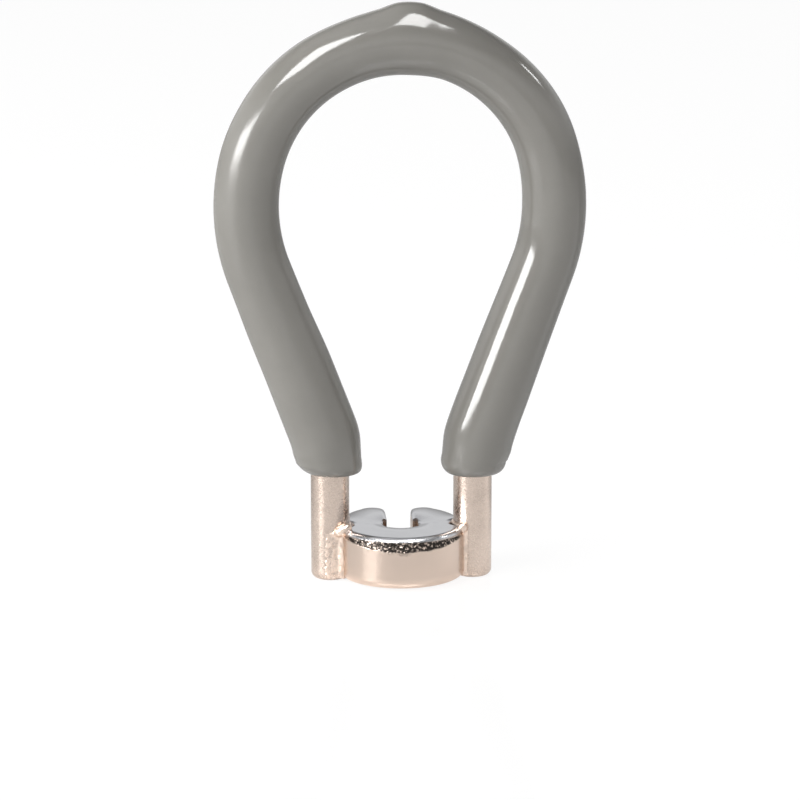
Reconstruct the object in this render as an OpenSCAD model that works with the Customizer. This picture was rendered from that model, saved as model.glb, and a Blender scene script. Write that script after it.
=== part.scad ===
// Spoke wrench: a bent rod handle in a dipped vinyl grip, with a slotted jaw brazed between its feet.
// Millimetres, +Z up. The spoke and its nipple lie along the Z axis in the jaw's socket, the jaw's mouth
// opens towards +Y, and the loop stands parallel to the XZ plane, a little behind the socket.

/* [Rod] */
// Diameter of the bare steel rod
rod_d = 4.76; // [4.2:0.02:5.4]
// Distance between the axes of the two legs
leg_pitch = 17.7; // [16.4:0.1:19]
// Bare height of each leg, from the foot to the dip line
bare_h = 13.3; // [11:0.1:15]
// Straight height of each leg inside the coat
coated_h = 1.3; // [1.3:0.1:3]
// Rounding of each foot
foot_r = 0.6; // [0.2:0.1:1.2]

/* [Loop] */
// Centreline radius of the bend above each leg
neck_r = 7.5; // [6:0.5:14]
// Lean of the limbs away from vertical, in degrees
lean = 20.6; // [17:0.2:24]
// Centreline radius of the loop's flanks
flank_r = 22.8; // [20:0.2:24]
// Centreline radius of the loop's crown
crown_r = 18.6; // [16.6:0.1:20]
// Half of the crown's arc, in degrees
crown_half = 71; // [50:0.5:75]

/* [Grip] */
// Outside diameter of the vinyl coat on the loop
grip_d = 7.9; // [7.2:0.1:8.8]
// How much the coat's diameter grows along the limbs, from the loop to the necks
grip_swell = 0.5; // [0.1:0.1:1]
// Rounding of the coat's edge at the dip line
dip_r = 1.25; // [0.5:0.05:1.3]
// Rise of the drip above the crown of the coat
drip_rise = 1; // [0.4:0.1:1.6]
// Lean of the drip away from the middle of the crown, in degrees
drip_lean = 2.6; // [0:0.2:6]
// Thickness of the drip as a share of the coat's diameter
drip_share = 0.88; // [0.75:0.01:0.94]
// Angle between the drip's slopes and the coat where they meet, in degrees
drip_edge = 9; // [6:0.5:14]

/* [Jaw] */
// Diameter of the jaw
jaw_d = 15.9; // [15:0.1:17]
// Extra reach of the jaw's round end on the side of the mouth
jaw_reach = 1.5; // [0.5:0.1:2.2]
// Thickness of the jaw
jaw_h = 6.4; // [5:0.05:7.5]
// Height of the jaw's lower face above the feet
jaw_lift = 0.3; // [0.1:0.05:0.8]
// Rounding of the jaw's lower edge
jaw_roll = 0.9; // [0.3:0.05:1.2]
// Height of the torn band below the jaw's upper edge
tear_h = 1.7; // [1:0.1:2.2]
// Inward slope of the torn band
tear_in = 0.25; // [0.1:0.05:0.6]
// Rounding of the jaw's upper edge
rim_r = 0.6; // [0.2:0.05:0.8]

/* [Socket] */
// Width across the flats of the spoke nipple
nipple_flats = 4.4; // [3.9:0.05:4.8]
// Distance from the axis of the jaw and the legs' plane to the socket's axis, towards the mouth
socket_shift = 0.7; // [0:0.1:1]
// Clearance between the nipple and the socket
nipple_clearance = 0.05; // [0.02:0.01:0.15]
// Rounding of the socket's corners
corner_r = 0.6; // [0.3:0.05:0.8]
// Width of the mouth that the spoke passes through
mouth_w = 3.25; // [2.6:0.05:3.6]
// Rounding of the mouth's lips
lip_r = 1.8; // [1:0.1:2.2]
// Diameter of the shallow dish round the socket
dish_d = 9; // [7.6:0.1:9.4]
// Depth of the dish at the socket's edge
dish_h = 0.12; // [0.06:0.02:0.4]
// Rounding between the dish and the socket's walls
socket_roll = 0.6; // [0.4:0.1:1]
// Angle of the faint edge where the lips and the socket's rounding run out, in degrees
edge_angle = 16; // [12:1:24]

/* [Braze] */
// Radius of the left braze's beads, in the crevices between the leg and the jaw
left_bead_r = 1.4; // [0.9:0.1:1.7]
// Radius of the right braze's beads
right_bead_r = 1.2; // [0.9:0.1:1.7]
// Distance of the beads from the jaw's lower face
bead_lift = 0.5; // [0.4:0.1:1.2]
// Width and height of the braze collar where a leg leaves the jaw's upper face
collar = 0.7; // [0.4:0.1:1]

/* [Hidden] */
$fn = 96;
steel = [0.80, 0.77, 0.72];
brass = [0.78, 0.72, 0.60];
vinyl = [0.48, 0.47, 0.45];
// How far a cut runs past the face that it opens
over = 0.5;
// Where two lengths of a tube join, the thinner one laps into the other
lap = 0.2;
lap_step = 0.04;

rod_r = rod_d / 2;
leg_x = leg_pitch / 2;
leg_h = bare_h + coated_h;
grip_r = grip_d / 2;

// The crown's arc is joined to a wider arc on each flank, then to a straight limb, a bent neck and the leg.
flank_arc = 90 - crown_half + lean;
joint_shift = flank_r - crown_r;
limb_l = (flank_r * cos(lean) - joint_shift * sin(crown_half) - leg_x
    - neck_r * (1 - cos(lean))) / sin(lean);
crown_z = leg_h + neck_r * sin(lean) + limb_l * cos(lean) + flank_r * sin(lean)
    + joint_shift * cos(crown_half);

// The drip's two slopes rise from the coat and meet in a round point above the crown.
drip_tube_r = drip_share * grip_r;
drip_axis_h = crown_r + grip_r + drip_rise - drip_tube_r;
drip_slope = acos(((crown_r + grip_r) * cos(drip_edge) - drip_tube_r) / drip_axis_h);
drip_l = drip_axis_h * sin(drip_slope);

jaw_r = jaw_d / 2;
socket_w = nipple_flats + nipple_clearance;
// Each lip's rounding leaves the mouth's wall smoothly and meets the jaw's side at the faint edge.
lip_x = mouth_w / 2 + lip_r;
lip_reach = sqrt(pow(jaw_r, 2) + pow(lip_r, 2) - 2 * jaw_r * lip_r * cos(edge_angle));
lip_y = sqrt(pow(lip_reach, 2) - pow(lip_x, 2));
// The dish falls evenly to the socket's edge, and the rounding there meets it at the faint edge.
dish_fall = dish_h / (dish_d / 2 - socket_w / 2);
roll_z = jaw_h - dish_h + socket_roll * (dish_fall - cos(edge_angle) * sqrt(1 + pow(dish_fall, 2)));
// Each crevice is where the leg's circle crosses the jaw's.
crevice_x = (pow(jaw_r, 2) - pow(rod_r, 2) + pow(leg_x, 2)) / (2 * leg_x);
crevice_y = sqrt(pow(jaw_r, 2) - pow(crevice_x, 2));

// A tube of radius r bent through an angle about Z, from the X axis.
module arc(bend_r, angle, r) {
    rotate_extrude(angle = angle) translate([bend_r, 0]) circle(r);
}

// The same tube, a hair thinner, with both ends running on into the tubes that it joins.
module joining_arc(bend_r, angle, r) {
    lap_angle = lap / bend_r * 180 / PI;
    rotate([0, 0, -lap_angle]) arc(bend_r, angle + 2 * lap_angle, r - lap_step);
}

// A round bar along Z whose lower edge is rounded.
module rounded_bar(r, h, edge_r) {
    rotate_extrude() {
        square([r - edge_r, h]);
        translate([0, edge_r]) square([r, h - edge_r]);
        translate([r - edge_r, edge_r]) circle(edge_r);
    }
}

// The handle's course as a tube, of radius r on the loop and end_r at the tops of both legs.
// The children are drawn at the top of each leg, where Z runs down the leg.
module course(r, end_r) {
    translate([0, 0, crown_z]) rotate([90, 0, 0]) {
        rotate([0, 0, 90 - crown_half]) arc(crown_r, 2 * crown_half, r);
        for (side = [0, 1]) mirror([side, 0, 0]) rotate([0, 0, 90 - crown_half])
            translate([-joint_shift, 0, 0]) mirror([0, 1, 0]) {
                joining_arc(flank_r, flank_arc, r);
                rotate([0, 0, flank_arc]) translate([flank_r, 0, 0]) {
                    rotate([-90, 0, 0]) cylinder(h = limb_l, r1 = r, r2 = end_r);
                    translate([neck_r, limb_l, 0]) mirror([1, 0, 0]) {
                        joining_arc(neck_r, lean, end_r);
                        rotate([0, 0, lean]) translate([neck_r, 0, 0]) rotate([-90, 0, 0]) children();
                    }
                }
            }
    }
}

// The bare steel rod, bent to the loop, with a rounded foot on each leg.
module handle_rod() {
    color(steel) translate([0, -socket_shift, 0]) course(rod_r, rod_r)
        translate([0, 0, leg_h]) mirror([0, 0, 1]) rounded_bar(rod_r, leg_h, foot_r);
}

// The dipped coat: a thicker tube on the same course, with rounded edges at the dip line
// and a drip on its crown.
module vinyl_grip() {
    end_r = grip_r + grip_swell / 2;
    color(vinyl) difference() {
        translate([0, -socket_shift, 0]) {
            course(grip_r, end_r)
                translate([0, 0, coated_h]) mirror([0, 0, 1]) rounded_bar(end_r, coated_h, dip_r);
            drip();
        }
        handle_rod();
    }
}

// The point where the last of the coat gathered as the handle hung by its legs.
module drip() {
    translate([0, 0, crown_z]) rotate([0, drip_lean, 0]) translate([0, 0, drip_axis_h]) {
        sphere(drip_tube_r - lap_step);
        for (side = [-1, 1]) rotate([0, side * (90 + drip_slope), 0]) cylinder(h = drip_l, r = drip_tube_r);
    }
}

// The jaw's blank: a thick disc, drawn out towards the mouth, with a rounded lower edge
// and a torn, sloping band under its upper edge.
module jaw_blank() {
    for (y = [0, jaw_reach]) translate([0, y, 0]) rotate_extrude() {
        polygon([[0, 0], [jaw_r - jaw_roll, 0], [jaw_r, jaw_roll], [jaw_r, jaw_h - tear_h],
            [jaw_r - tear_in, jaw_h - rim_r], [jaw_r - tear_in - rim_r, jaw_h], [0, jaw_h]]);
        translate([jaw_r - jaw_roll, jaw_roll]) circle(jaw_roll);
        translate([jaw_r - tear_in - rim_r, jaw_h - rim_r]) circle(rim_r);
    }
}

// The outline of the four-sided socket and of the mouth that leads to it, with rounded lips.
module socket_outline() {
    inner_w = socket_w - 2 * corner_r;
    translate([0, socket_shift]) {
        square([socket_w, inner_w], center = true);
        square([inner_w, socket_w], center = true);
        for (x = [-1, 1], y = [-1, 1]) translate([x * inner_w / 2, y * inner_w / 2]) circle(corner_r);
    }
    translate([-mouth_w / 2, socket_shift]) square([mouth_w, lip_y + jaw_reach - socket_shift]);
    translate([0, lip_y + jaw_reach]) difference() {
        translate([-lip_x, 0]) square([2 * lip_x, jaw_r]);
        for (x = [-1, 1]) translate([x * lip_x, 0]) circle(lip_r);
    }
}

// The shallow dish round the socket, and the rounding from it into the socket's walls.
module socket_entry() {
    roll_x = socket_w / 2 + socket_roll;
    translate([0, 0, jaw_h - dish_h])
        cylinder(h = dish_h + over, r1 = socket_w / 2, r2 = dish_d / 2 + over / dish_fall);
    difference() {
        translate([0, 0, roll_z]) cylinder(h = jaw_h + over - roll_z, r = roll_x);
        translate([0, 0, roll_z]) rotate_extrude() translate([roll_x, 0]) circle(socket_roll);
    }
}

// The slotted jaw, notched on both sides to seat the legs.
module nipple_jaw() {
    color(steel) translate([0, -socket_shift, jaw_lift]) difference() {
        jaw_blank();
        translate([0, 0, -over]) linear_extrude(jaw_h + 2 * over) socket_outline();
        translate([0, socket_shift, 0]) socket_entry();
        for (x = [-leg_x, leg_x]) translate([x, 0, -over]) cylinder(h = jaw_h + 2 * over, r = rod_r);
    }
}

// The braze on one side: a bead in the front and back crevices, joined by a collar round the leg.
module braze(side, bead_r) {
    color(brass) translate([0, -socket_shift, jaw_lift]) difference() {
        intersection() {
            union() {
                for (y = [-crevice_y, crevice_y]) translate([side * crevice_x, y, bead_lift])
                    cylinder(h = jaw_h - bead_lift, r = bead_r);
                translate([side * leg_x, 0, jaw_h]) cylinder(h = collar, r1 = rod_r + collar, r2 = rod_r);
            }
            translate([0, 0, bead_lift]) cylinder(h = jaw_h + collar, r = jaw_r + bead_r / 2);
        }
        jaw_blank();
        translate([side * leg_x, 0, 0]) cylinder(h = leg_h, r = rod_r);
    }
}

handle_rod();
nipple_jaw();
braze(-1, left_bead_r);  // left_braze
braze(1, right_bead_r);  // right_braze
vinyl_grip();
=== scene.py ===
"""Spoke wrench: a bent rod handle with a dipped vinyl grip and a slotted jaw brazed between its feet."""

import math

import bmesh
import bpy
from bpy.props import FloatProperty, FloatVectorProperty, PointerProperty
from mathutils import Matrix, Vector, noise


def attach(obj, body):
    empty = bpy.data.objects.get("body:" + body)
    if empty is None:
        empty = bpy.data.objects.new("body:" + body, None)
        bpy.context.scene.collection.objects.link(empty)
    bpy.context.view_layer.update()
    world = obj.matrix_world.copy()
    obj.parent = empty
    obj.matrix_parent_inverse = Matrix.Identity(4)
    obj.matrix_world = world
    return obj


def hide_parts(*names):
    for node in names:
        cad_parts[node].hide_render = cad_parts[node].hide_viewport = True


bl_info = {
    "name": "Spoke Wrench",
    "version": (1, 0, 0),
    "blender": (4, 5, 0),
    "location": "View3D > Sidebar > Spoke Wrench",
    "description": "Models a dipped spoke wrench on its CAD frame, with its finishes and a studio stage",
    "category": "Add Mesh",
}

MM = 0.001
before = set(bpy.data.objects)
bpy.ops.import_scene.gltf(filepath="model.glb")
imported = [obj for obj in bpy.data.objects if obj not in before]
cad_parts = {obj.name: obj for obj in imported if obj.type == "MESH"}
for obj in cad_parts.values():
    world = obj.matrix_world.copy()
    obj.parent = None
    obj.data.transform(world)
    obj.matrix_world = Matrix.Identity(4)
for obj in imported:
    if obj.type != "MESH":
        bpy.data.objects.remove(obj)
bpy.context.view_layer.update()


def length(name, description, millimetres):
    """A length that is written in millimetres and kept in metres."""
    return FloatProperty(name=name, description=description, default=millimetres * MM, min=0.0,
                         precision=5, unit="LENGTH", subtype="DISTANCE")


def angle(name, description, degrees):
    """An angle that is written in degrees and kept in radians."""
    return FloatProperty(name=name, description=description, default=math.radians(degrees), subtype="ANGLE")


def colour(name, description, rgb):
    """A linear colour."""
    return FloatVectorProperty(name=name, description=description, default=rgb, min=0.0, max=1.0, size=3,
                               subtype="COLOR")


def level(name, description, value):
    """A plain number, such as a light's level."""
    return FloatProperty(name=name, description=description, default=value, min=0.0)


class HandleSettings(bpy.types.PropertyGroup):
    """The bent rod."""

    rod_d: length("Rod diameter", "Diameter of the bare rod", 4.76)
    leg_pitch: length("Leg pitch", "Distance between the axes of the legs", 17.7)
    leg_h: length("Leg height", "Height of the straight legs above the feet", 14.6)
    foot_r: length("Foot rounding", "Rounding of each foot", 0.8)
    neck_r: length("Neck radius", "Centreline radius of the bend above each leg", 7.5)
    lean: angle("Lean", "Lean of the limbs away from vertical", 20.6)
    flank_r: length("Flank radius", "Centreline radius of the loop's flanks", 22.8)
    crown_r: length("Crown radius", "Centreline radius of the loop's crown", 18.6)
    crown_half: angle("Crown half", "Half of the crown's arc", 71.0)
    setback: length("Setback", "Distance of the legs' plane behind the socket's axis", 0.7)
    plate: colour("Plate", "Colour of the rod's satin nickel plate", (0.595, 0.494, 0.427))


class GripSettings(bpy.types.PropertyGroup):
    """The dipped vinyl coat."""

    crown_coat: length("Crown coat", "Outside radius of the coat on the crown", 3.9)
    neck_coat: length("Neck coat", "Outside radius of the coat on the necks", 4.28)
    end_coat: length("End coat", "Outside radius of the coat just above the dip line", 4.06)
    left_dip: length("Left dip line", "Height of the coat's edge on the left leg", 13.42)
    right_dip: length("Right dip line", "Height of the coat's edge on the right leg", 13.12)
    dip_edge: length("Dip edge", "Height of the rounding at the coat's edge", 1.6)
    drip_rise: length("Drip rise", "Rise of the drip above the crown of the coat", 1.05)
    vinyl: colour("Vinyl", "Colour of the vinyl", (0.262, 0.2525, 0.231))


class JawSettings(bpy.types.PropertyGroup):
    """The slotted jaw and its brazed joints."""

    jaw_d: length("Jaw diameter", "Diameter of the jaw", 15.9)
    jaw_reach: length("Jaw reach", "Extra reach of the jaw's round end on the side of the mouth", 1.5)
    jaw_h: length("Jaw thickness", "Thickness of the jaw", 6.4)
    jaw_lift: length("Jaw lift", "Height of the jaw's lower face above the feet", 0.3)
    jaw_roll: length("Lower rounding", "Rounding of the jaw's lower edge", 0.9)
    rim_r: length("Rim rounding", "Rounding of the jaw's upper edge", 0.8)
    tear_h: length("Torn band", "Height of the torn band below the rim", 0.95)
    tear_in: length("Tear slope", "Inward slope of the torn band", 0.25)
    socket_w: length("Socket width", "Width of the socket across its flats", 4.45)
    corner_r: length("Socket corners", "Rounding of the socket's corners", 0.9)
    mouth_w: length("Mouth width", "Width of the mouth that the spoke passes through", 3.25)
    lip_r: length("Lip rounding", "Rounding of the mouth's lips", 1.8)
    dish_w: length("Dish width", "Width of the shallow dish round the socket", 2.3)
    dish_h: length("Dish depth", "Depth of the dish at the socket", 0.12)
    socket_roll: length("Socket rounding", "Rounding between the dish and the socket's walls", 0.5)
    wall_plate: colour("Wall plate", "Colour of the nickel plate on the jaw's walls", (0.60, 0.491, 0.418))
    # The upper face's colour is partly its ground finish and partly a painted reflection: it is cooler and
    # greyer than the walls' although both carry the same nickel plate.
    face_plate_with_painted_reflection: colour("Face plate", "Colour of the ground and plated upper face", (0.54, 0.543, 0.565))
    torn_plate: colour("Torn plate", "Colour of the plate deep in the torn band", (0.035, 0.03, 0.027))


class StageSettings(bpy.types.PropertyGroup):
    """The floor, the lights and the camera."""

    floor: colour("Floor", "Colour of the floor where it only lights the wrench", (0.62, 0.62, 0.62))
    ambient: level("Ambient", "Level of the light from all sides", 0.36)
    key: level("Key", "Brightness of the softbox at the upper left", 2.6)
    strip: level("Strip", "Brightness of the low softbox at the left", 4.1)
    fill: level("Fill", "Brightness of the wide fill light at the front", 2.95)
    side: level("Side", "Brightness of the wide fill light at the left", 6.0)
    gleam: level("Gleam", "Extra brightness of both softboxes in glossy surfaces", 10.5)
    top: level("Top", "Brightness of the panel overhead in glossy surfaces", 11.0)
    rim: level("Rim", "Brightness of the small light at the back right", 11.0)
    azimuth: angle("Camera azimuth", "Turn of the camera round the wrench", -4.13)
    elevation: angle("Camera elevation", "Height of the camera above the horizon", 13.26)
    distance: length("Camera distance", "Distance of the camera from the point it looks at", 454.5)
    roll: angle("Camera roll", "Roll of the camera", -0.079)


class WrenchSettings(bpy.types.PropertyGroup):
    """All that a user may change."""

    handle: PointerProperty(type=HandleSettings)
    grip: PointerProperty(type=GripSettings)
    jaw: PointerProperty(type=JawSettings)
    stage: PointerProperty(type=StageSettings)


class HandleCourse:
    """The centreline of the handle, from the left foot over the crown to the right foot."""

    def __init__(self, handle):
        lean, half = handle.lean, handle.crown_half
        leg_x = handle.leg_pitch / 2
        join = handle.flank_r - handle.crown_r
        limb = (handle.flank_r * math.cos(lean) - join * math.sin(half) - leg_x
                - handle.neck_r * (1 - math.cos(lean))) / math.sin(lean)
        flank_turn = math.pi / 2 - half + lean
        self.leg, self.neck, self.limb = handle.leg_h, handle.neck_r * lean, limb
        self.flank, self.crown = handle.flank_r * flank_turn, handle.crown_r * half * 2
        half_way = [(self.leg, 0.0), (self.neck, -1 / handle.neck_r), (limb, 0.0),
                    (self.flank, 1 / handle.flank_r)]
        self.runs = half_way + [(self.crown, 1 / handle.crown_r)] + half_way[::-1]
        self.length = sum(run for run, _ in self.runs)
        self.start = Vector((-leg_x, -handle.setback, 0.0))

    def place(self, distance):
        """The point and the heading, from +Z towards +X, at a distance from the left foot."""
        point, heading = self.start.copy(), 0.0
        for run, turn in self.runs:
            step = min(run, distance)
            after = heading + step * turn
            if turn:
                inside, inside_after = (Vector((math.cos(h), 0, -math.sin(h))) for h in (heading, after))
                point = point + (inside - inside_after) / turn
            else:
                point = point + Vector((math.sin(heading), 0, math.cos(heading))) * step
            heading = after
            distance -= step
            if distance <= 0:
                break
        return point, heading

    def ring(self, distance, radius, shift=0.0, ease=0.0):
        """The frame of a round section: X to the inside of the loop, Y across it and Z along the course."""
        point, heading = self.place(distance)
        if ease:
            before, after = self.place(distance - ease), self.place(distance + ease)
            point = (before[0] + point + after[0]) / 3
            heading = (before[1] + heading + after[1]) / 3
        c, s = math.cos(heading), math.sin(heading)
        centre = point + Vector((c, 0, -s)) * shift
        return Matrix(((c * radius, 0, s, centre.x), (0, radius, 0, centre.y),
                       (-s * radius, 0, c, centre.z), (0, 0, 0, 1)))


def spaced(start, end, step):
    """Evenly spaced numbers from start to end, at most a step apart."""
    count = max(1, math.ceil(abs(end - start) / step - 1e-6))
    return [start + (end - start) * i / count for i in range(count + 1)]


def smooth_step(low, high, value):
    """0 below low, 1 above high and a smooth rise between them."""
    t = min(1.0, max(0.0, (value - low) / (high - low)))
    return t * t * (3 - 2 * t)


def hump(start, full, fade, gone, value):
    """A smooth rise from 0 to 1 and a smooth fall back to 0."""
    return smooth_step(start, full, value) * (1 - smooth_step(fade, gone, value))


def circles_meet(first_r, second_r, apart):
    """Where two circles meet: along the line from the first centre to the second, and across it."""
    along = (first_r ** 2 - second_r ** 2 + apart ** 2) / (2 * apart)
    return along, math.sqrt(first_r ** 2 - along ** 2)


def along_marks(marks, at):
    """A smooth curve through (place, value) marks, without overshoot."""
    if at <= marks[0][0]:
        return marks[0][1]
    steps = [(vb - va) / (b - a) for (a, va), (b, vb) in zip(marks, marks[1:])]
    slopes = [2 * p * q / (p + q) if p * q > 0 else 0.0 for p, q in zip(steps, steps[1:])]
    slopes = [0.0] + slopes + [0.0]
    for (a, va), (b, vb), first, last in zip(marks, marks[1:], slopes, slopes[1:]):
        if at <= b:
            w, t = b - a, (at - a) / (b - a)
            return (va * (1 + 2 * t) * (1 - t) ** 2 + first * w * t * (1 - t) ** 2
                    + vb * t * t * (3 - 2 * t) + last * w * t * t * (t - 1))
    return marks[-1][1]


def extrude_ring(bm, ring):
    """Extrude a closed ring of edges on the spot. Returns the new ring's edges and vertices."""
    made = bmesh.ops.extrude_edge_only(bm, edges=ring)["geom"]
    verts = [v for v in made if isinstance(v, bmesh.types.BMVert)]
    new = set(verts)
    edges = [e for e in made if isinstance(e, bmesh.types.BMEdge) and e.verts[0] in new and e.verts[1] in new]
    return edges, verts


def carry_ring(bm, ring, frames):
    """Extrude a ring from the first frame through all the others. Returns the last ring and all rows."""
    rows = []
    for before, after in zip(frames, frames[1:]):
        ring, verts = extrude_ring(bm, ring)
        step = after @ before.inverted()
        for vert in verts:
            vert.co = step @ vert.co
        rows.append(verts)
    return ring, rows


def round_section(bm, section, segments, cap=False):
    """A round ring of unit radius, placed by its section's frame."""
    verts = bmesh.ops.create_circle(bm, cap_ends=cap, radius=1.0, segments=segments)["verts"]
    bmesh.ops.transform(bm, matrix=section, verts=verts)
    inside = set(verts)
    edges = [e for e in bm.edges if e.verts[0] in inside and e.verts[1] in inside]
    return edges, verts


def close_piece(bm):
    """Merge the seams and turn all faces outwards."""
    bmesh.ops.remove_doubles(bm, verts=bm.verts, dist=0.001 * MM)
    bmesh.ops.recalc_face_normals(bm, faces=bm.faces)


def add_object(name, data):
    """A new object in the scene."""
    made = bpy.data.objects.new(name, data)
    bpy.context.scene.collection.objects.link(made)
    return made


def finish_piece(bm, name, material, nodes, sharp=None):
    """Make the finished mesh an object that stands for its CAD nodes and rides on the body."""
    mesh = bpy.data.meshes.new(name)
    for face in bm.faces:
        face.smooth = True
    bm.to_mesh(mesh)
    bm.free()
    if sharp:
        mesh.set_sharp_from_angle(angle=math.radians(sharp))
    mesh.materials.append(material)
    piece = add_object(name, mesh)
    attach(piece, "root")
    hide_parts(*nodes)
    return piece


def plain_shader(name, **constants):
    """A material and its node tree, with the named sockets of its shader set."""
    material = bpy.data.materials.new(name)
    material.use_nodes = True
    tree = material.node_tree
    for socket, value in constants.items():
        tree.nodes["Principled BSDF"].inputs[socket].default_value = value
    return material, tree


def dressed(material, base, rough, normal):
    """The material, with its colour, roughness and relief linked into its shader."""
    tree = material.node_tree
    shader = tree.nodes["Principled BSDF"]
    for socket, value in (("Base Color", base), ("Roughness", rough), ("Normal", normal)):
        tree.links.new(value, shader.inputs[socket])
    return material


def add_node(tree, kind, links=(), **settings):
    """A node with its settings, its sockets' values and the links into it."""
    made = tree.nodes.new("ShaderNode" + kind)
    for name, value in settings.items():
        setattr(made, name, value)
    for socket, value in dict(links).items():
        if isinstance(value, bpy.types.NodeSocket):
            tree.links.new(value, made.inputs[socket])
        else:
            made.inputs[socket].default_value = value
    return made


def object_place(tree, stretch=(1.0, 1.0, 1.0)):
    """The place on the piece, stretched along its axes."""
    coords = add_node(tree, "TexCoord")
    return add_node(tree, "Mapping", {"Vector": coords.outputs["Object"], "Scale": stretch}).outputs[0]


def axes_of(tree, place):
    """The three coordinates of a place."""
    return add_node(tree, "SeparateXYZ", {"Vector": place}).outputs


def noise_at(tree, place, scale, detail=2.0, roughness=0.5):
    """A noise field from 0 to 1."""
    links = {"Vector": place, "Scale": scale, "Detail": detail, "Roughness": roughness}
    return add_node(tree, "TexNoise", links).outputs["Fac"]


def ranged(tree, value, low, high, to_low=0.0, to_high=1.0):
    """A field brought from one range to another, and held there."""
    links = {"Value": value, "From Min": low, "From Max": high, "To Min": to_low, "To Max": to_high}
    return add_node(tree, "MapRange", links).outputs["Result"]


def blended(tree, share, first, second):
    """A colour between two colours, by a field."""
    return add_node(tree, "Mix", {"Factor": share, 6: first, 7: second}, data_type="RGBA").outputs[2]


def shade(rgb, factor=1.0):
    """A colour made lighter or darker, with its alpha."""
    return tuple(min(1.0, c * factor) for c in rgb) + (1.0,)


def grey(value):
    """A grey, with its alpha."""
    return (value, value, value, 1.0)


def relief(tree, height, depth, strength=1.0, over=None):
    """A bump of a depth in millimetres, on top of another one."""
    links = {"Height": height, "Distance": depth * MM, "Strength": strength}
    if over:
        links["Normal"] = over
    return add_node(tree, "Bump", links).outputs["Normal"]


def vinyl_finish(rgb):
    """Glossy dipped vinyl: faint mottling, a soft orange peel, a slow waviness and a duller left limb."""
    material, tree = plain_shader("grey_vinyl", IOR=1.52)
    place = object_place(tree)
    mottle = noise_at(tree, place, 260.0, 5.0, 0.6)
    clouds = noise_at(tree, place, 55.0, 2.0)
    fine = blended(tree, ranged(tree, mottle, 0.35, 0.65), shade(rgb, 0.965), shade(rgb, 1.035))
    broad = blended(tree, ranged(tree, clouds, 0.3, 0.7), shade(rgb, 0.97), shade(rgb, 1.03))
    x, _, z = axes_of(tree, place)
    dull = ranged(tree, z, 14 * MM, 28 * MM)
    dull = ranged(tree, z, 52 * MM, 62 * MM, dull, 0.0)
    dull = ranged(tree, x, -9 * MM, -2 * MM, dull, 0.0)
    gloss = ranged(tree, mottle, 0.3, 0.7, 0.085, 0.13)
    rough = ranged(tree, dull, 0.0, 1.0, gloss, 0.255)
    slow = relief(tree, noise_at(tree, place, 150.0, 1.0), 0.12, 0.25)
    peel = relief(tree, noise_at(tree, place, 1100.0, 2.0), 0.012, 0.2, slow)
    return dressed(material, blended(tree, 0.5, fine, broad), rough, peel)


def rod_finish(rgb):
    """Satin nickel plate over drawn rod: a fine grain that breaks the highlights up."""
    material, tree = plain_shader("plated_rod", Metallic=1.0)
    place = object_place(tree)
    grain = noise_at(tree, place, 2600.0, 3.0, 0.6)
    cloud = noise_at(tree, place, 420.0, 4.0, 0.6)
    base = blended(tree, ranged(tree, cloud, 0.3, 0.7), shade(rgb, 0.93), shade(rgb, 1.07))
    rough = ranged(tree, grain, 0.3, 0.7, 0.2, 0.34)
    waves = relief(tree, cloud, 0.05, 0.35)
    return dressed(material, base, rough, relief(tree, grain, 0.02, 0.6, waves))


def jaw_finish(jaw):
    """Nickel plate that is smooth on the walls, ground on the upper face and broken in the torn band. The
    upper face's cooler colour is partly a painted reflection. Its far edges and a crescent at the socket are
    painted darker as painted shade, and the walls are paler towards their lower edge.
    """
    material, tree = plain_shader("plated_jaw", Metallic=1.0)
    place = object_place(tree)
    _, _, height = axes_of(tree, place)
    top = jaw.jaw_lift + jaw.jaw_h
    face = ranged(tree, height, top - 0.7 * MM, top - 0.45 * MM)
    torn = add_node(tree, "Attribute", attribute_name="torn").outputs["Fac"]
    cloud = noise_at(tree, place, 340.0, 4.0, 0.55)
    draw = noise_at(tree, object_place(tree, (1.0, 1.0, 0.12)), 2200.0, 2.0)
    grit = noise_at(tree, place, 3200.0, 4.0, 0.7)
    patchy = ranged(tree, cloud, 0.3, 0.7)
    wall = blended(tree, patchy, shade(jaw.wall_plate, 0.975), shade(jaw.wall_plate, 1.025))
    # The face colour holds a painted reflection of a cool surround.
    ground = blended(tree, patchy, shade(jaw.face_plate_with_painted_reflection, 0.97), shade(jaw.face_plate_with_painted_reflection, 1.03))
    painted_edge_shade = add_node(tree, "Attribute", attribute_name="painted_edge_shade").outputs["Fac"]
    # Painted shade: the ground face is darkened towards the lobes' far edges and in a crescent at the
    # socket's near edge, where roll_far_edge marks it.
    ground = blended(tree, painted_edge_shade, ground, shade(jaw.face_plate_with_painted_reflection, 0.06))
    # The walls are paler towards their lower edge.
    paler_low = ranged(tree, height, jaw.jaw_lift + 1.3 * MM, jaw.jaw_lift)
    wall = blended(tree, paler_low, wall, shade(jaw.wall_plate, 1.28))
    sound = blended(tree, face, wall, ground)
    chips = blended(tree, ranged(tree, grit, 0.54, 0.63), shade(jaw.torn_plate), shade(jaw.wall_plate, 1.2))
    base = blended(tree, torn, sound, chips)
    smooth = ranged(tree, face, 0.0, 1.0, 0.27, 0.25)
    rough = add_node(tree, "Mix", {"Factor": torn, "A": smooth, "B": 0.3}).outputs["Result"]
    lines = relief(tree, draw, 0.006, 0.3)
    return dressed(material, base, rough, relief(tree, cloud, 0.02, 0.12, lines))


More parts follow.
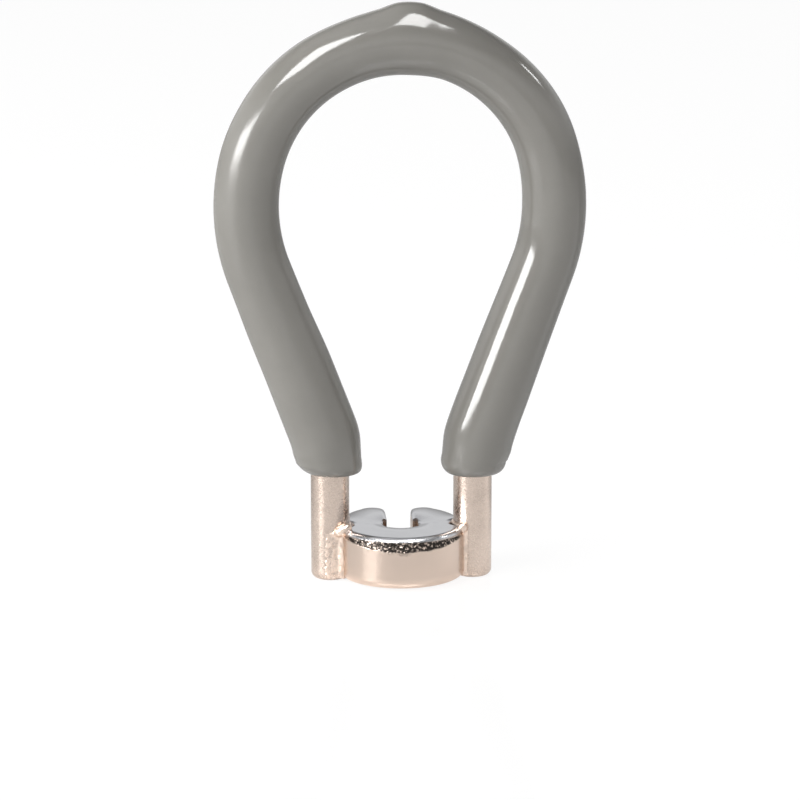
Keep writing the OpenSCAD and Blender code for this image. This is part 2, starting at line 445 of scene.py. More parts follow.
def braze_finish(rgb):
    """Nickel plate over lumpy braze, lightened in patches up to 1.3 times the walls' plate as painted
    highlight.
    """
    material, tree = plain_shader("plated_braze", Metallic=1.0)
    place = object_place(tree)
    grain = noise_at(tree, place, 2400.0, 4.0, 0.65)
    pits = noise_at(tree, place, 1500.0, 2.0)
    # Painted highlight: patches of the plate are lightened up to 1.3 times, standing in for the braze's
    # bright reflections.
    base = blended(tree, ranged(tree, pits, 0.35, 0.6), shade(rgb, 1.0), shade(rgb, 1.3))
    rough = ranged(tree, grain, 0.3, 0.7, 0.24, 0.4)
    lumps = relief(tree, pits, 0.08, 0.6)
    return dressed(material, base, rough, relief(tree, grain, 0.03, 0.7, lumps))


class WRENCH_OT_rod(bpy.types.Operator):
    """Bend the bare rod from foot to foot"""

    bl_idname = "wrench.rod"
    bl_label = "Bent rod"
    bl_options = {"REGISTER", "UNDO"}

    def execute(self, context):
        handle = context.scene.wrench.handle
        course = HandleCourse(handle)
        rod_r, foot_r = handle.rod_d / 2, handle.foot_r
        foot = [(foot_r * (1 - math.cos(t)), rod_r - foot_r * (1 - math.sin(t)))
                for t in spaced(0, math.pi / 2, math.radians(15))]
        straight = spaced(foot_r, course.leg, 0.7 * MM)[1:]
        bent = spaced(course.leg, course.length - course.leg, 0.9 * MM)[1:-1]
        stations = foot + [(d, rod_r) for d in straight + bent]
        stations += [(course.length - d, rod_r) for d in reversed(straight)]
        stations += [(course.length - d, r) for d, r in reversed(foot)]
        frames = [course.ring(d, r) for d, r in stations]
        bm = bmesh.new()
        ring, _ = round_section(bm, frames[0], 64, cap=True)
        ring, _ = carry_ring(bm, ring, frames)
        bmesh.ops.edgeloop_fill(bm, edges=ring)
        close_piece(bm)
        finish_piece(bm, "bent_rod", rod_finish(handle.plate), ["handle_rod"], sharp=40)
        return {"FINISHED"}


class WRENCH_OT_grip(bpy.types.Operator):
    """Dip the loop in vinyl, with a drip on its crown"""

    bl_idname = "wrench.grip"
    bl_label = "Dipped grip"
    bl_options = {"REGISTER", "UNDO"}

    # The drip's rise as a share of its height, by degrees to the right of the crown's middle
    DRIP = [(-34.0, 0.0), (-20.0, -0.07), (-12.5, 0.03), (-6.3, 0.32), (-3.2, 0.66), (0.0, 0.93), (4.0, 1.0),
            (6.5, 0.96), (9.1, 0.75), (12.2, 0.49), (18.6, 0.28), (25.0, 0.13), (36.0, 0.0)]

    # Uneven places: shares of the course where one starts, is full, ends and is gone, then extra radius
    # and inward shift in millimetres
    UNEVEN = [(0.09, 0.12, 0.17, 0.22, 0.04, 0.17), (0.34, 0.38, 0.44, 0.48, -0.05, 0.09),
              (0.505, 0.545, 0.63, 0.7, -0.13, -0.13), (0.62, 0.67, 0.8, 0.86, -0.05, 0.08),
              (0.86, 0.9, 0.92, 0.94, 0.05, -0.14)]

    # Outward shift of the coat's ends, and the length over which it fades
    END_SHIFT, END_FADE = 0.12 * MM, 3.2 * MM

    # Thickness of the coat's edge at the rod and its lean to the inside, on the left and the right leg
    LEFT_EDGE, RIGHT_EDGE = (0.45 * MM, 0.55 * MM), (0.6 * MM, -0.05 * MM)

    # Reach of the rounding at a neck, and the distances from the foot where it is full, fades and ends
    NECK_EASE, EASE_FULL, EASE_FADE, EASE_END = 1.8 * MM, 17 * MM, 21 * MM, 28 * MM

    def coat(self, course, grip, distance):
        """The coat's outside radius at a distance from the nearer foot."""
        neck_end = course.leg + course.neck
        limb_end = neck_end + course.limb
        marks = [(grip.left_dip + grip.dip_edge, grip.end_coat),
                 (neck_end, grip.neck_coat),
                 (neck_end + course.limb * 0.5, grip.neck_coat - 0.07 * MM),
                 (limb_end, grip.crown_coat + 0.12 * MM),
                 (limb_end + course.flank, grip.crown_coat + 0.05 * MM),
                 (course.length / 2, grip.crown_coat)]
        return along_marks(marks, distance)

    def neck_ease(self, course, grip, distance):
        """How far the coat rounds off the bend of a neck, to each side of a place on the course."""
        near = min(distance, course.length - distance)
        return self.NECK_EASE * hump(grip.left_dip, self.EASE_FULL, self.EASE_FADE, self.EASE_END, near)

    def edge(self, grip, dip, inner_r, start, lean):
        """Distances from the foot, radii and shifts of the rings at the coat's edge, from the rod out."""
        start_r = inner_r + start
        rings = [(dip + 0.2 * MM, inner_r, 0.0), (dip + 0.05 * MM, inner_r + 0.2 * MM, lean * 0.1),
                 (dip, inner_r + 0.4 * MM, lean * 0.35)]
        for t in spaced(0, math.pi / 2, math.radians(9)):
            rings.append((dip + 0.02 * MM + grip.dip_edge * (1 - math.cos(t)),
                          start_r + (grip.end_coat - start_r) * math.sin(t),
                          lean * math.cos(t) ** 1.5 - self.END_SHIFT * math.sin(t)))
        return rings

    def gather_drip(self, course, grip, row, distance):
        """Raise the outer side of one ring on the crown where the last of the coat gathered."""
        point, heading = course.place(distance)
        rise = grip.drip_rise * along_marks(self.DRIP, math.degrees(heading) - 90)
        outside = Vector((-math.cos(heading), 0, math.sin(heading)))
        for vert in row:
            offset = vert.co - point
            facing = offset.normalized().dot(outside)
            if facing > 0:
                vert.co += outside * rise * facing ** 1.7

    def execute(self, context):
        wrench = context.scene.wrench
        grip, course = wrench.grip, HandleCourse(wrench.handle)
        inner_r = wrench.handle.rod_d / 2 + 0.005 * MM
        left = self.edge(grip, grip.left_dip, inner_r, *self.LEFT_EDGE)
        right = self.edge(grip, grip.right_dip, inner_r, *self.RIGHT_EDGE)
        first, last = left[-1][0], course.length - right[-1][0]
        outer = []
        for d in spaced(first, last, 0.42 * MM)[1:-1]:
            near = min(d - first, last - d)
            radius = self.coat(course, grip, min(d, course.length - d))
            shift = -self.END_SHIFT * (1 - smooth_step(0, self.END_FADE, near))
            at = d / course.length
            for *span, more, inwards in self.UNEVEN:
                share = hump(*span, at)
                radius += more * share * MM
                shift += inwards * share * MM
            outer.append((d, radius, shift))
        stations = left + outer + [(course.length - d, r, s) for d, r, s in reversed(right)]
        inner = [(d, inner_r, 0.0) for d in spaced(course.length - right[0][0], left[0][0], 1.2 * MM)[1:]]
        frames = [course.ring(d, r, s, self.neck_ease(course, grip, d)) for d, r, s in stations]
        frames += [course.ring(d, r, s) for d, r, s in inner]
        bm = bmesh.new()
        ring, _ = round_section(bm, frames[0], 80)
        ring, rows = carry_ring(bm, ring, frames)
        for (d, _, _), row in zip(stations[1:], rows):
            if abs(d - course.length / 2) < course.crown / 2:
                self.gather_drip(course, grip, row, d)
        close_piece(bm)
        finish_piece(bm, "dipped_grip", vinyl_finish(grip.vinyl), ["vinyl_grip"])
        return {"FINISHED"}


class WRENCH_OT_jaw(bpy.types.Operator):
    """Punch the slotted jaw, with its socket, lips, dish and torn band"""

    bl_idname = "wrench.jaw"
    bl_label = "Slotted jaw"
    bl_options = {"REGISTER", "UNDO"}

    # Angle at which a lip meets the jaw's outside, arc of the rounding at the socket, and half of the torn
    # arc in degrees
    LIP_ANGLE, ROLL_ARC, TORN_ARC = math.radians(16), math.radians(82), 74

    # Distances of the face's rings inside the rim in millimetres, and the room that they take
    FACE_RINGS, FACE_ROOM = (1.44, 1.0, 0.65, 0.35, 0.12), 1.45 * MM

    # Fall of the face towards the lips and at the mouth, and the left lobe's reach past the right one
    LIP_FALL, MOUTH_FALL, LOBE_REACH = 0.1 * MM, 0.26 * MM, 0.35 * MM

    def socket_point(self, jaw, setback, turn):
        """The point of the socket's rounded square in a direction from its axis."""
        w, r = jaw.socket_w / 2, jaw.corner_r
        c, s = math.cos(turn), math.sin(turn)
        reach = w / max(abs(c), abs(s))
        k = w - r
        if min(abs(reach * c), abs(reach * s)) > k:
            across = k * (abs(c) + abs(s))
            reach = across + math.sqrt(max(0.0, across * across - 2 * k * k + r * r))
        return Vector((reach * c, setback + reach * s))

    def outer_reach(self, jaw, handle, turn):
        """The jaw's reach from its axis in a direction, with a notch for each leg."""
        jaw_r, leg_x, seat_r = jaw.jaw_d / 2, handle.leg_pitch / 2, handle.rod_d / 2 + 0.02 * MM
        drawn = jaw.jaw_reach * math.sin(turn) + math.sqrt(jaw_r ** 2 - (jaw.jaw_reach * math.cos(turn)) ** 2)
        reach = max(jaw_r, drawn)
        side = abs(math.sin(turn)) * leg_x
        if side < seat_r:
            reach = min(reach, leg_x * abs(math.cos(turn)) - math.sqrt(seat_r ** 2 - side ** 2))
        return reach

    def columns(self, jaw, handle):
        """Inner and outer plan points of upright sections, from the right lip round to the left one."""
        jaw_r, lip_r, mouth, setback = jaw.jaw_d / 2, jaw.lip_r, jaw.mouth_w / 2, handle.setback
        lip_x = mouth + lip_r
        reach = math.sqrt(jaw_r ** 2 + lip_r ** 2 - 2 * jaw_r * lip_r * math.cos(self.LIP_ANGLE))
        lip_y = math.sqrt(reach ** 2 - lip_x ** 2)
        along, _ = circles_meet(jaw_r, lip_r, reach)
        meet = math.atan2(lip_y, lip_x) - math.acos(along / jaw_r)
        meet_point = Vector((math.cos(meet), math.sin(meet))) * jaw_r
        lip_end = math.atan2(meet_point.y - lip_y, meet_point.x - lip_x)
        lip_y += jaw.jaw_reach
        meet = math.atan2(meet_point.y + jaw.jaw_reach, meet_point.x)
        k = jaw.socket_w / 2 - jaw.corner_r
        corner_start = math.acos((mouth - k) / jaw.corner_r)
        half = []
        for t in spaced(0, 1, 1 / 30):
            lip = math.pi + (lip_end - math.pi) * t
            corner = corner_start + (math.radians(40) - corner_start) * t
            socket = Vector((k + jaw.corner_r * math.cos(corner),
                             setback + k + jaw.corner_r * math.sin(corner)))
            half.append((socket, Vector((lip_x + lip_r * math.cos(lip), lip_y + lip_r * math.sin(lip)))))
        start = half[-1][0] - Vector((0, setback))
        first = math.atan2(start.y, start.x)
        for turn in spaced(meet, -math.pi / 2, math.radians(0.8))[1:]:
            share = (turn + math.pi / 2) / (meet + math.pi / 2)
            inward = -math.pi / 2 + share * (first + math.pi / 2)
            reach = self.outer_reach(jaw, handle, turn)
            half.append((self.socket_point(jaw, setback, inward),
                         Vector((math.cos(turn), math.sin(turn))) * reach))
        mirrored = [tuple(Vector((-p.x, p.y)) for p in pair) for pair in reversed(half[:-1])]
        return half + mirrored

    def section(self, jaw):
        """The section's outline: points measured from the socket's wall, then from the outside."""
        h, roll, rim, slope = jaw.jaw_h, jaw.socket_roll, jaw.rim_r, jaw.tear_in
        rise = self.ROLL_ARC
        inner = [(0.3 * MM, 0.0), (0.08 * MM, 0.08 * MM), (0.0, 0.3 * MM)]
        foot = h - jaw.dish_h - 0.006 * MM - roll * math.sin(rise)
        inner += [(0.0, z) for z in spaced(0.3 * MM, foot, 0.9 * MM)[1:-1]]
        inner += [(roll * (1 - math.cos(t)), foot + roll * math.sin(t))
                  for t in spaced(0, rise, math.radians(9))]
        edge, low = inner[-1]
        for t in spaced(0, 1, 1 / 8)[1:]:
            inner.append((edge + (jaw.dish_w - edge) * t, h - (h - low) * (1 - t) ** 2))
        outer = [(slope + rim + d * MM, h) for d in self.FACE_RINGS]
        outer += [(slope + rim * (1 - math.sin(t)), h - rim * (1 - math.cos(t)))
                  for t in spaced(0, math.pi / 2, math.radians(9))]
        outer += [(slope * (1 - t), h - rim - jaw.tear_h * t) for t in spaced(0, 1, 1 / 15)[1:]]
        outer += [(0.0, z) for z in spaced(h - rim - jaw.tear_h, jaw.jaw_roll, 0.5 * MM)[1:-1]]
        outer += [(jaw.jaw_roll * (1 - math.cos(t)), jaw.jaw_roll * (1 - math.sin(t)))
                  for t in spaced(0, math.pi / 2, math.radians(10))]
        return inner, outer

    def round_entry(self, bm, jaw, zone, wall_top):
        """Give the dish and the socket's rounding a round plan, with the socket's corners cut into it."""
        roll, h, dish_r = jaw.socket_roll, jaw.jaw_h, jaw.socket_w / 2 + jaw.dish_w
        foot, edge_r = wall_top, jaw.socket_w / 2 + roll * (1 - math.cos(self.ROLL_ARC))
        low = foot + roll * math.sin(self.ROLL_ARC)
        for vert in bm.verts:
            if vert[zone] > 1:
                continue
            r = max(jaw.socket_w / 2, math.hypot(vert.co.x, vert.co.y))
            if r < edge_r:
                z = foot + math.sqrt(max(0.0, roll ** 2 - (jaw.socket_w / 2 + roll - r) ** 2))
            else:
                z = h - (h - low) * max(0.0, 1 - (r - edge_r) / (dish_r - edge_r)) ** 2
            if vert[zone] == 1:
                vert.co.z = jaw.jaw_lift + z
            elif vert.co.z > jaw.jaw_lift + 0.5 * MM:
                vert.co.z = jaw.jaw_lift + (vert.co.z - jaw.jaw_lift) * z / foot

    def roll_far_edge(self, bm, jaw, middle, inside):
        """Let the face fall away towards the lips, mark where its colour is painted darker as painted shade,
        and draw the left lobe out.
        """
        painted_edge_shade = bm.verts.layers.float["painted_edge_shade"]
        top, mouth = jaw.jaw_lift + jaw.jaw_h, jaw.mouth_w / 2
        for vert in bm.verts:
            x, y = abs(vert.co.x), vert.co.y - middle
            if vert.co.z > top - 1.0 * MM:
                share = min(1.0, 1.25 * max(0.0, 1 - vert[inside] / (3.6 * MM)) ** 1.3)
                share *= smooth_step(1.5 * MM, 4.2 * MM, y)
                fall = self.LIP_FALL * share
                if y > 2.6 * MM:
                    fall = max(fall, self.MOUTH_FALL * max(0.0, 1 - max(0.0, x - mouth) / (0.6 * MM)) ** 2.2)
                vert.co.z -= fall
                beyond = math.hypot(x, vert.co.y) - jaw.socket_w / 2
                # Painted shade: a dark crescent just beyond the socket's near edge.
                near = 0.45 * smooth_step(0.2 * MM, 1.6 * MM, -vert.co.y)
                near *= hump(0.05 * MM, 0.2 * MM, 0.9 * MM, 1.6 * MM, beyond)
                # Mark how far the face's colour is painted darker as painted shade.
                vert[painted_edge_shade] = max(share, near)
            if vert.co.x < 0:
                vert.co.y += self.LOBE_REACH * smooth_step(2.5 * MM, 6.5 * MM, y)

    def tear(self, bm, jaw, middle):
        """Break up the band below the rim, widest at the front, and mark how torn each point is."""
        torn = bm.verts.layers.float.new("torn")
        rim_z = jaw.jaw_lift + jaw.jaw_h - jaw.rim_r
        for vert in bm.verts:
            plan = Vector((vert.co.x, vert.co.y - middle, 0.0))
            if plan.length < jaw.jaw_d / 2 - 0.6 * MM or plan.y > 7.0 * MM:
                continue
            turn = abs(math.degrees(math.atan2(plan.x, -plan.y)))
            lens = 0.0
            if turn <= self.TORN_ARC:
                lens = max(0.0, math.cos(math.radians(turn * 90 / self.TORN_ARC))) ** 1.4
            elif turn >= 180 - self.TORN_ARC:
                lens = 0.45
            seed = vert.co / MM
            ragged = 0.16 * MM * noise.noise(seed * 0.9 + Vector((7, 3, 1))) * lens
            depth = jaw.tear_h * (0.12 + 0.88 * lens) + ragged
            low = rim_z - depth
            if rim_z - jaw.tear_h < vert.co.z < rim_z:
                sloped = 1 - (rim_z - vert.co.z) / jaw.tear_h - max(0.0, 1 - (rim_z - vert.co.z) / depth)
                vert.co += plan.normalized() * jaw.tear_in * sloped
            high = rim_z + (0.3 * lens - 0.04 + 0.14 * smooth_step(1 * MM, 3.5 * MM, -plan.x)) * MM
            mask = hump(low - 0.05 * MM, low + 0.1 * MM, high, high + 0.12 * MM, vert.co.z)
            mask *= smooth_step(0.02, 0.2, lens)
            if mask <= 0:
                continue
            broken = noise.turbulence(seed * 3.1, 3, True) - 0.45
            vert.co += plan.normalized() * broken * 0.16 * MM * mask
            vert[torn] = mask

    def execute(self, context):
        wrench = context.scene.wrench
        jaw, handle = wrench.jaw, wrench.handle
        middle = -handle.setback
        columns = self.columns(jaw, handle)
        inner, outer = self.section(jaw)
        bm = bmesh.new()
        layers = bm.verts.layers
        layers.int.new("zone")
        layers.float.new("inside")
        # Mark for the painted shade on the upper face.
        layers.float.new("painted_edge_shade")
        zone, inside = layers.int["zone"], layers.float["inside"]
        verts = [bm.verts.new((d, 0.0, z)) for d, z in inner + outer]
        wall_top = max(z for d, z in inner if d == 0)
        for i, (vert, (d, z)) in enumerate(zip(verts, inner + outer)):
            vert[zone] = 2 if i >= len(inner) else int(z >= wall_top)
            vert[inside] = d if i >= len(inner) else 9 * MM
        ring = [bm.edges.new((a, b)) for a, b in zip(verts, verts[1:] + verts[:1])]
        placed = [Matrix.Identity(4), Matrix.Identity(4)]
        rings = []
        for i, (near, far) in enumerate(columns):
            if i:
                ring, verts = extrude_ring(bm, ring)
            out = far - near
            room = out.length
            out.normalize()
            squeeze = min(1.0, (room - jaw.tear_in - jaw.rim_r - self.FACE_ROOM) / (jaw.dish_w + 0.05 * MM))
            places = []
            for at, step in ((near, squeeze), (far, -1.0)):
                places.append(Matrix(((out.x * step, -out.y, 0, at.x),
                                      (out.y * step, out.x, 0, at.y + middle),
                                      (0, 0, 1, jaw.jaw_lift), (0, 0, 0, 1))))
            for side in (0, 1):
                bmesh.ops.transform(bm, matrix=places[side] @ placed[side].inverted(),
                                    verts=[v for v in verts if (v[zone] == 2) == side])
            placed = places
            if i in (0, len(columns) - 1):
                rings.append(ring)
        for ring in rings:
            bmesh.ops.edgeloop_fill(bm, edges=ring)
        close_piece(bm)
        self.round_entry(bm, jaw, zone, wall_top)
        self.roll_far_edge(bm, jaw, middle, inside)
        self.tear(bm, jaw, middle)
        finish_piece(bm, "slotted_jaw", jaw_finish(jaw), ["nipple_jaw"], sharp=42)
        return {"FINISHED"}


class WRENCH_OT_braze(bpy.types.Operator):
    """Run the lumpy braze into the crevices between the legs and the jaw"""

    bl_idname = "wrench.braze"
    bl_label = "Braze joints"
    bl_options = {"REGISTER", "UNDO"}

    # Side, CAD node, fillet radius and half sizes of the blob at each crevice's top, in millimetres
    JOINTS = [(-1, "left_braze", 1.05, (1.25, 0.9, 0.8)), (1, "right_braze", 0.5, (0.66, 0.6, 0.7))]

    # Rows of drops on a leg, in degrees from its front or back towards the jaw
    DROP_ROWS = (-14, 2, 18, 34)

    # Radius of the bead where a leg leaves the jaw, and size of the voxels that fuse a joint
    BEAD_R, VOXEL = 0.24 * MM, 0.08 * MM

    def fillet(self, bm, jaw, handle, side, face, fillet_r):
        """A hollow, uneven fillet that runs up one crevice, tangent to the jaw and the leg."""
        jaw_r, rod_r, leg_x = jaw.jaw_d / 2, handle.rod_d / 2, handle.leg_pitch / 2
        x, y = circles_meet(jaw_r + fillet_r, rod_r + fillet_r, leg_x)
        start, end = math.atan2(-y, -x), math.atan2(-y, leg_x - x)
        arc = [Vector((x + fillet_r * math.cos(t), y + fillet_r * math.sin(t), 0))
               for t in spaced(start, end, (end - start) / 14)]
        core = [Vector((leg_x - 0.4 * MM, rod_r - 0.6 * MM, 0)),
                Vector((jaw_r - 1.6 * MM, rod_r - 1.2 * MM, 0))]
        ring, verts = round_section(bm, Matrix.Identity(4), len(arc + core), cap=True)
        for vert, point in zip(verts, arc + core):
            vert.co = (side * point.x, face * point.y - handle.setback, jaw.jaw_lift + 0.1 * MM)
        made = list(verts)
        for _ in spaced(0, jaw.jaw_h - 0.5 * MM, 0.2 * MM)[1:]:
            ring, verts = extrude_ring(bm, ring)
            for vert in verts:
                vert.co.z += 0.2 * MM
            made += verts
        bmesh.ops.edgeloop_fill(bm, edges=ring)
        outwards, fullness = Vector((side * 0.35, face, 0)), min(1.0, fillet_r / (1.2 * MM))
        for vert in made:
            seed = vert.co / MM
            bump = noise.noise(seed * 1.1 + Vector((side, face, 0))) + 0.5 * noise.noise(seed * 2.6)
            vert.co += outwards * (0.11 * bump - 0.01) * fullness * MM

    def film(self, bm, jaw, handle, side):
        """Low drops of braze that spread over the front and back of a leg."""
        for face in (-1, 1):
            for row, turn in enumerate(self.DROP_ROWS):
                for i, z in enumerate(spaced(0.9 * MM, jaw.jaw_h - 0.4 * MM, 0.42 * MM)):
                    seed = Vector((i * 0.71 + row * 3.7 + 0.33, side * 0.6, face * 0.4))
                    wander = Vector([noise.noise(seed + Vector((0, k * 5.3, k * 2.1))) for k in range(3)])
                    at = math.radians(turn + 9 * wander.x)
                    out = handle.rod_d / 2 - 0.5 * MM
                    place = Vector((side * (handle.leg_pitch / 2 - out * math.sin(at)),
                                    face * out * math.cos(at) - handle.setback, z + 0.15 * MM * wander.y))
                    bmesh.ops.create_icosphere(bm, subdivisions=2, radius=(0.585 + 0.09 * wander.z) * MM,
                                               matrix=Matrix.Translation(place))

    def execute(self, context):
        wrench = context.scene.wrench
        jaw, handle = wrench.jaw, wrench.handle
        jaw_r, leg_x, rod_r = jaw.jaw_d / 2, handle.leg_pitch / 2, handle.rod_d / 2
        crevice_x, crevice_y = circles_meet(jaw_r, rod_r, leg_x)
        top = jaw.jaw_lift + jaw.jaw_h
        finish = braze_finish(jaw.wall_plate)
        for side, name, fillet_r, blob in self.JOINTS:
            bm = bmesh.new()
            if side < 0:
                self.film(bm, jaw, handle, side)
            for face in (-1, 1):
                self.fillet(bm, jaw, handle, side, face, fillet_r * MM)
                place = Vector((side * (crevice_x - 0.25 * MM),
                                face * (crevice_y + 0.15 * MM) - handle.setback, top - 0.15 * MM))
                shape = Matrix.Diagonal((blob[0] * MM, blob[1] * MM, blob[2] * MM, 1))
                tilt = Matrix.Rotation(side * math.radians(25), 4, "Y")
                bmesh.ops.create_icosphere(bm, subdivisions=3, radius=1.0,
                                           matrix=Matrix.Translation(place) @ tilt @ shape)
            axis = Vector((side * leg_x, -handle.setback, top))
            reach = math.atan2(crevice_y, leg_x - crevice_x)
            seam = bmesh.ops.create_circle(bm, cap_ends=True, radius=self.BEAD_R, segments=16)["verts"]
            start = Matrix.Translation(axis) @ Matrix.Rotation(-side * reach, 4, "Z")
            outside = Matrix.Translation((-side * (rod_r + 0.02 * MM), 0, 0))
            bmesh.ops.transform(bm, verts=seam, matrix=start @ outside @ Matrix.Rotation(math.pi / 2, 4, "X"))
            faces = list({f for v in seam for f in v.link_faces})
            bmesh.ops.spin(bm, geom=faces, cent=axis, axis=(0, 0, 1), angle=side * 2 * reach, steps=32)
            close_piece(bm)
            piece = finish_piece(bm, name + "_bead", finish, [name])
            fuse = piece.modifiers.new("fuse", "REMESH")
            fuse.mode = "VOXEL"
            fuse.voxel_size = self.VOXEL
            fuse.use_smooth_shade = True
            soften = piece.modifiers.new("soften", "SMOOTH")
            soften.factor = 0.5
            soften.iterations = 8
        return {"FINISHED"}


class WRENCH_OT_stage(bpy.types.Operator):
    """Set up the floor, the softboxes, the surroundings and the camera"""

    bl_idname = "wrench.stage"
    bl_label = "Studio stage"
    bl_options = {"REGISTER", "UNDO"}

    # Points that the lights face and that the camera looks at, the camera's focal length in widths of its
    # picture, and the power of a lamp of brightness 1 in watts per square metre
    LIT_POINT = Vector((0.0, 0.0, 0.035))
    LOOK_AT = Vector((-0.095 * MM, 0.0, 22.217 * MM))
    FOCAL = 3682.4 / 800
    LAMP_POWER = 4

    def seen(self, tree):
        """1 for rays that show the background: the camera's, and those in metal or glass."""
        path = add_node(tree, "LightPath")
        total = path.outputs["Is Camera Ray"]
        for ray in ("Is Glossy Ray", "Is Transmission Ray"):
            total = add_node(tree, "Math", {0: total, 1: path.outputs[ray]},
                             operation="ADD", use_clamp=True).outputs[0]
        return total

    def lay_floor(self, stage):
        """A pale floor that shows white, with the wrench's faint reflection and shadow. In metal its glow is
        painted lighter to the right of the jaw and darker behind the wrench, as painted light and shade.
        """
        bm = bmesh.new()
        bmesh.ops.create_grid(bm, x_segments=1, y_segments=1, size=2.5)
        mesh = bpy.data.meshes.new("floor")
        bm.to_mesh(mesh)
        bm.free()
        floor = add_object("floor", mesh)
        material, tree = plain_shader("pale_floor")
        tree.nodes.clear()
        matt = add_node(tree, "BsdfDiffuse", {"Color": shade(stage.floor)})
        direct = add_node(tree, "LightPath").outputs["Is Camera Ray"]
        tint = blended(tree, direct, grey(0.7), grey(0.18))
        faint = add_node(tree, "BsdfDiffuse", {"Color": tint})
        x, y, _ = axes_of(tree, object_place(tree))
        # Painted light and shade in the glow that metal shows: lighter to the right beside the jaw and darker
        # behind the wrench.
        painted_light_right = ranged(tree, x, 5 * MM, 18 * MM, 0.47, 0.72)
        painted_light_right = ranged(tree, y, -22 * MM, -6 * MM, 0.47, painted_light_right)
        back = ranged(tree, y, 6 * MM, 30 * MM, painted_light_right, 0.12)
        strength = ranged(tree, direct, 0.0, 1.0, back, 0.9)
        glow = add_node(tree, "Emission", {"Color": grey(1.0), "Strength": strength})
        lit = add_node(tree, "AddShader", {0: faint.outputs[0], 1: glow.outputs[0]})
        gloss = add_node(tree, "BsdfGlossy", {"Color": grey(1.0), "Roughness": 0.12})
        sheen = add_node(tree, "MixShader", {0: 0.05, 1: lit.outputs[0], 2: gloss.outputs[0]})
        both = add_node(tree, "MixShader", {0: self.seen(tree), 1: matt.outputs[0], 2: sheen.outputs[0]})
        add_node(tree, "OutputMaterial", {"Surface": both.outputs[0]})
        mesh.materials.append(material)

    def surround(self, stage):
        """A pale room with a darker band above the camera and a pale ceiling."""
        world = bpy.data.worlds.new("pale_room")
        bpy.context.scene.world = world
        world.use_nodes = True
        tree = world.node_tree
        tree.nodes.clear()
        coords = add_node(tree, "TexCoord")
        x, _, z = axes_of(tree, coords.outputs["Generated"])
        low = blended(tree, ranged(tree, z, 0.0, 0.2), grey(0.42), grey(1.0))
        shown = blended(tree, ranged(tree, z, 0.32, 0.6), low, grey(0.12))
        over = ranged(tree, x, -0.05, 0.45, ranged(tree, z, 0.64, 0.92), 0.15)
        over = ranged(tree, z, 0.6, 0.7, 0.0, over)
        shown = blended(tree, over, shown, grey(0.85))
        show = add_node(tree, "Background", {"Color": shown, "Strength": 1.0})
        light = add_node(tree, "Background", {"Color": grey(1.0), "Strength": stage.ambient})
        both = add_node(tree, "MixShader", {0: self.seen(tree), 1: light.outputs[0], 2: show.outputs[0]})
        add_node(tree, "OutputWorld", {"Surface": both.outputs[0]})

    def facing(self, way, roll):
        """The rotation of a lamp or camera that stands in a direction and looks back."""
        turn = way.to_track_quat("Z", "Y").to_matrix() @ Matrix.Rotation(roll, 3, "Z")
        return turn.to_euler()

    def softbox(self, name, way, size, brightness, diffuse=True, gloss=True, distance=0.6, roll=0.0):
        """A rectangular light that faces the wrench from a direction."""
        light = bpy.data.lights.new(name, "AREA")
        light.shape = "RECTANGLE"
        light.size, light.size_y = size
        light.energy = brightness * self.LAMP_POWER * size[0] * size[1]
        lamp = add_object(name, light)
        way = Vector(way).normalized()
        lamp.location = self.LIT_POINT + way * distance
        lamp.rotation_euler = self.facing(way, math.radians(roll))
        lamp.visible_diffuse, lamp.visible_glossy = diffuse, gloss

    def execute(self, context):
        scene, stage = context.scene, context.scene.wrench.stage
        scene.view_settings.view_transform = "Standard"
        self.lay_floor(stage)
        self.surround(stage)
        key_way, strip_way = (-0.455, -0.54, 0.71), (-0.85, -0.491, 0.22)
        self.softbox("key_softbox", key_way, (0.22, 0.3), stage.key)
        self.softbox("strip_softbox", strip_way, (0.29, 0.158), stage.strip)
        self.softbox("fill_light", (0.087, -0.994, 0.07), (0.4, 0.4), stage.fill, gloss=False, distance=0.8)
        self.softbox("side_light", (-0.965, -0.034, 0.259), (0.4, 0.4), stage.side, gloss=False, distance=0.8)
        self.softbox("key_gleam", key_way, (0.215, 0.295), stage.gleam, diffuse=False, distance=0.59)
        self.softbox("strip_gleam", strip_way, (0.285, 0.153), stage.gleam, diffuse=False, distance=0.59)
        self.softbox("top_gleam", (0.175, -0.44, 0.87), (0.22, 0.32), stage.top, diffuse=False, roll=-40)
        self.softbox("rim_gleam", (0.81, 0.12, 0.57), (0.06, 0.09), stage.rim, diffuse=False)
        camera = bpy.data.cameras.new("camera")
        camera.sensor_width = 36.0
        camera.lens = self.FOCAL * camera.sensor_width
        camera.clip_start, camera.clip_end = 0.01, 20.0
        view = add_object("camera", camera)
        az, el = stage.azimuth, stage.elevation
        way = Vector((math.sin(az) * math.cos(el), -math.cos(az) * math.cos(el), math.sin(el)))
        view.location = self.LOOK_AT + way * stage.distance
        view.rotation_euler = self.facing(way, stage.roll)
        scene.camera = view
        return {"FINISHED"}


class WRENCH_PT_panel(bpy.types.Panel):
    """Lists the pieces and their settings"""

    bl_idname = "WRENCH_PT_panel"
    bl_label = "Spoke Wrench"
    bl_space_type = "VIEW_3D"
    bl_region_type = "UI"
    bl_category = "Spoke Wrench"

    def draw(self, context):
        wrench = context.scene.wrench
        for group, operators in (("handle", ["wrench.rod"]), ("grip", ["wrench.grip"]),
                                 ("jaw", ["wrench.jaw", "wrench.braze"]), ("stage", ["wrench.stage"])):
            box = self.layout.box()
            settings = getattr(wrench, group)
            for name in settings.bl_rna.properties.keys():
                if name not in ("rna_type", "name"):
                    box.prop(settings, name)
            for operator in operators:
                box.operator(operator)


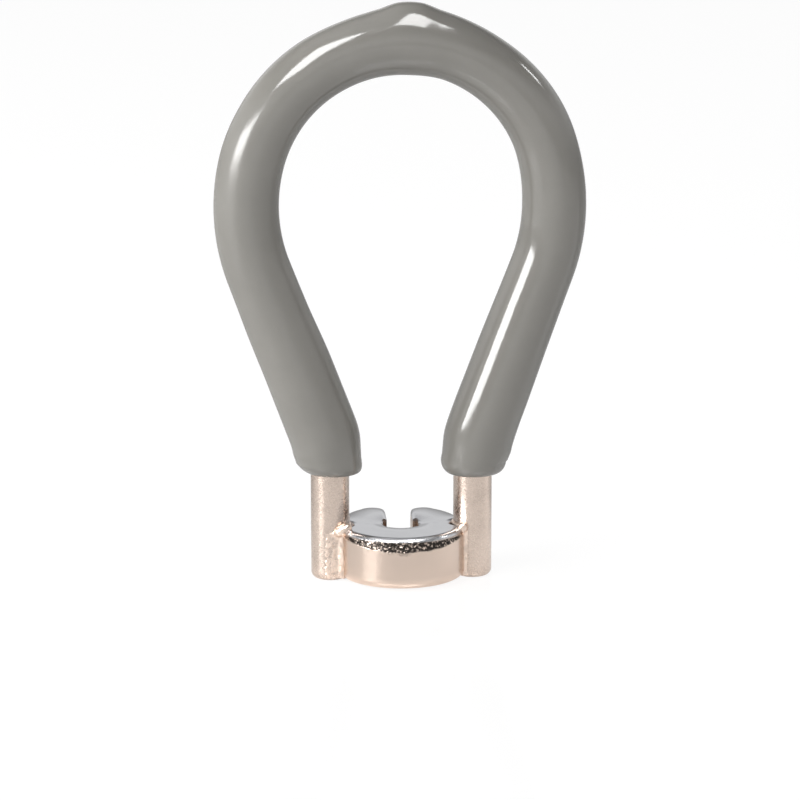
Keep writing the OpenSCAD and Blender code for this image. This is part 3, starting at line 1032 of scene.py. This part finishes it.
CLASSES = (HandleSettings, GripSettings, JawSettings, StageSettings, WrenchSettings, WRENCH_OT_rod,
           WRENCH_OT_grip, WRENCH_OT_jaw, WRENCH_OT_braze, WRENCH_OT_stage, WRENCH_PT_panel)


def register():
    """Add the settings, the operators and the panel to Blender."""
    for cls in CLASSES:
        bpy.utils.register_class(cls)
    bpy.types.Scene.wrench = PointerProperty(type=WrenchSettings)


def unregister():
    """Take them out again."""
    del bpy.types.Scene.wrench
    for cls in reversed(CLASSES):
        bpy.utils.unregister_class(cls)


def main():
    """Make all pieces and the stage."""
    register()
    bpy.ops.wrench.rod()
    bpy.ops.wrench.grip()
    bpy.ops.wrench.jaw()
    bpy.ops.wrench.braze()
    bpy.ops.wrench.stage()


if __name__ == "__main__":
    main()
